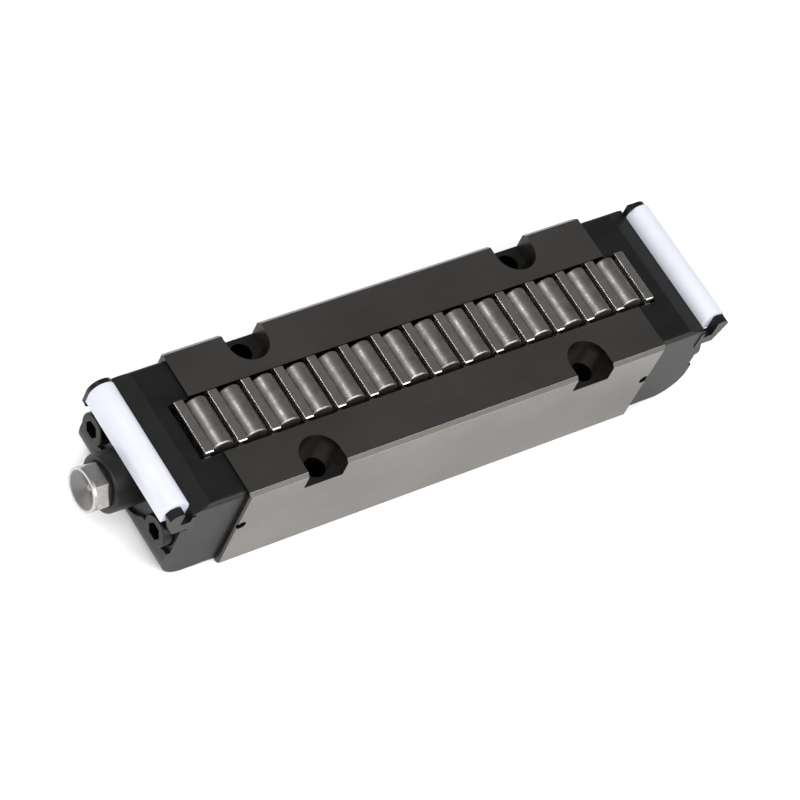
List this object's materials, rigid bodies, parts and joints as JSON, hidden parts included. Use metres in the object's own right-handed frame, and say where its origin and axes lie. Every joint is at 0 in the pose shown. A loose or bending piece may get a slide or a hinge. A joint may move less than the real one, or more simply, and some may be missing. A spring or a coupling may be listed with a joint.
{
  "type": "linear roller carriage",
  "caption": "Steel linear-bearing block with a central row of recirculating rollers, black end caps, white wipers, pocketed fixing holes and an end grease nipple.",
  "frame": {"origin": "centre of the mounting face on the underside, at the centre of the four fixing holes", "axes": "+X along the direction of travel, away from the grease nipple; +Y across the carriage; +Z from the mounting face to the rollers"},
  "size_m": [0.2157, 0.052, 0.038],
  "materials": {
    "block_steel": "ground and hardened, lightly oiled",
    "cover_steel": "ground",
    "bearing_steel": "lapped, bright",
    "spacer_steel": "smooth, drawn",
    "cap_polymer": "moulded, satin black",
    "guide_polymer": "moulded, smooth black",
    "holder_polymer": "moulded, satin black",
    "wiper_polymer": "moulded, waxy white",
    "screw_steel": "black oxide, oiled",
    "nipple_steel": "turned, zinc plated",
    "spring_steel": "drawn wire"
  },
  "bodies": {
    "carriage": {"body_block": "block_steel", "return_cover": "cover_steel", "cover_screws": "screw_steel", "end_cap_left": "cap_polymer", "return_guide_left": "guide_polymer", "cap_screws_left": "screw_steel", "wiper_left": "wiper_polymer", "wiper_holder_left": "holder_polymer", "end_cap_right": "cap_polymer", "return_guide_right": "guide_polymer", "cap_screws_right": "screw_steel", "wiper_right": "wiper_polymer", "wiper_holder_right": "holder_polymer", "nipple_body": "nipple_steel", "nipple_spring": "spring_steel", "return_rollers": "bearing_steel", "return_spacers": "spacer_steel", "spacer_01": "spacer_steel", "spacer_02": "spacer_steel", "spacer_03": "spacer_steel", "spacer_04": "spacer_steel", "spacer_05": "spacer_steel", "spacer_06": "spacer_steel", "spacer_07": "spacer_steel", "spacer_08": "spacer_steel", "spacer_09": "spacer_steel", "spacer_10": "spacer_steel", "spacer_11": "spacer_steel", "spacer_12": "spacer_steel", "spacer_13": "spacer_steel", "spacer_14": "spacer_steel", "spacer_15": "spacer_steel"},
    "check_ball": {"nipple_ball": "bearing_steel"},
    "roller_01": {"roller_01": "bearing_steel"},
    "roller_02": {"roller_02": "bearing_steel"},
    "roller_03": {"roller_03": "bearing_steel"},
    "roller_04": {"roller_04": "bearing_steel"},
    "roller_05": {"roller_05": "bearing_steel"},
    "roller_06": {"roller_06": "bearing_steel"},
    "roller_07": {"roller_07": "bearing_steel"},
    "roller_08": {"roller_08": "bearing_steel"},
    "roller_09": {"roller_09": "bearing_steel"},
    "roller_10": {"roller_10": "bearing_steel"},
    "roller_11": {"roller_11": "bearing_steel"},
    "roller_12": {"roller_12": "bearing_steel"},
    "roller_13": {"roller_13": "bearing_steel"},
    "roller_14": {"roller_14": "bearing_steel"}
  },
  "joints": [
    {"name": "roller_01_spin", "type": "hinge", "parent": "carriage", "child": "roller_01", "pos_m": [-0.07475, 0, 0.034], "axis": [0, 1, 0], "continuous": true},
    {"name": "roller_02_spin", "type": "hinge", "parent": "carriage", "child": "roller_02", "pos_m": [-0.06325, 0, 0.034], "axis": [0, 1, 0], "continuous": true},
    {"name": "roller_03_spin", "type": "hinge", "parent": "carriage", "child": "roller_03", "pos_m": [-0.05175, 0, 0.034], "axis": [0, 1, 0], "continuous": true},
    {"name": "roller_04_spin", "type": "hinge", "parent": "carriage", "child": "roller_04", "pos_m": [-0.04025, 0, 0.034], "axis": [0, 1, 0], "continuous": true},
    {"name": "roller_05_spin", "type": "hinge", "parent": "carriage", "child": "roller_05", "pos_m": [-0.02875, 0, 0.034], "axis": [0, 1, 0], "continuous": true},
    {"name": "roller_06_spin", "type": "hinge", "parent": "carriage", "child": "roller_06", "pos_m": [-0.01725, 0, 0.034], "axis": [0, 1, 0], "continuous": true},
    {"name": "roller_07_spin", "type": "hinge", "parent": "carriage", "child": "roller_07", "pos_m": [-0.00575, 0, 0.034], "axis": [0, 1, 0], "continuous": true},
    {"name": "roller_08_spin", "type": "hinge", "parent": "carriage", "child": "roller_08", "pos_m": [0.00575, 0, 0.034], "axis": [0, 1, 0], "continuous": true},
    {"name": "roller_09_spin", "type": "hinge", "parent": "carriage", "child": "roller_09", "pos_m": [0.01725, 0, 0.034], "axis": [0, 1, 0], "continuous": true},
    {"name": "roller_10_spin", "type": "hinge", "parent": "carriage", "child": "roller_10", "pos_m": [0.02875, 0, 0.034], "axis": [0, 1, 0], "continuous": true},
    {"name": "roller_11_spin", "type": "hinge", "parent": "carriage", "child": "roller_11", "pos_m": [0.04025, 0, 0.034], "axis": [0, 1, 0], "continuous": true},
    {"name": "roller_12_spin", "type": "hinge", "parent": "carriage", "child": "roller_12", "pos_m": [0.05175, 0, 0.034], "axis": [0, 1, 0], "continuous": true},
    {"name": "roller_13_spin", "type": "hinge", "parent": "carriage", "child": "roller_13", "pos_m": [0.06325, 0, 0.034], "axis": [0, 1, 0], "continuous": true},
    {"name": "roller_14_spin", "type": "hinge", "parent": "carriage", "child": "roller_14", "pos_m": [0.07475, 0, 0.034], "axis": [0, 1, 0], "continuous": true},
    {"name": "nipple_ball_press", "type": "slide", "parent": "carriage", "child": "check_ball", "axis": [1, 0, 0], "range_m": [0, 0.0008], "stiffness_N_per_m": 400, "springref_m": -0.001, "deforming": ["nipple_spring"]}
  ],
  "couplings": [
    {"joint": "roller_02_spin", "follows": "roller_01_spin", "ratio": 1},
    {"joint": "roller_03_spin", "follows": "roller_01_spin", "ratio": 1},
    {"joint": "roller_04_spin", "follows": "roller_01_spin", "ratio": 1},
    {"joint": "roller_05_spin", "follows": "roller_01_spin", "ratio": 1},
    {"joint": "roller_06_spin", "follows": "roller_01_spin", "ratio": 1},
    {"joint": "roller_07_spin", "follows": "roller_01_spin", "ratio": 1},
    {"joint": "roller_08_spin", "follows": "roller_01_spin", "ratio": 1},
    {"joint": "roller_09_spin", "follows": "roller_01_spin", "ratio": 1},
    {"joint": "roller_10_spin", "follows": "roller_01_spin", "ratio": 1},
    {"joint": "roller_11_spin", "follows": "roller_01_spin", "ratio": 1},
    {"joint": "roller_12_spin", "follows": "roller_01_spin", "ratio": 1},
    {"joint": "roller_13_spin", "follows": "roller_01_spin", "ratio": 1},
    {"joint": "roller_14_spin", "follows": "roller_01_spin", "ratio": 1}
  ]
}
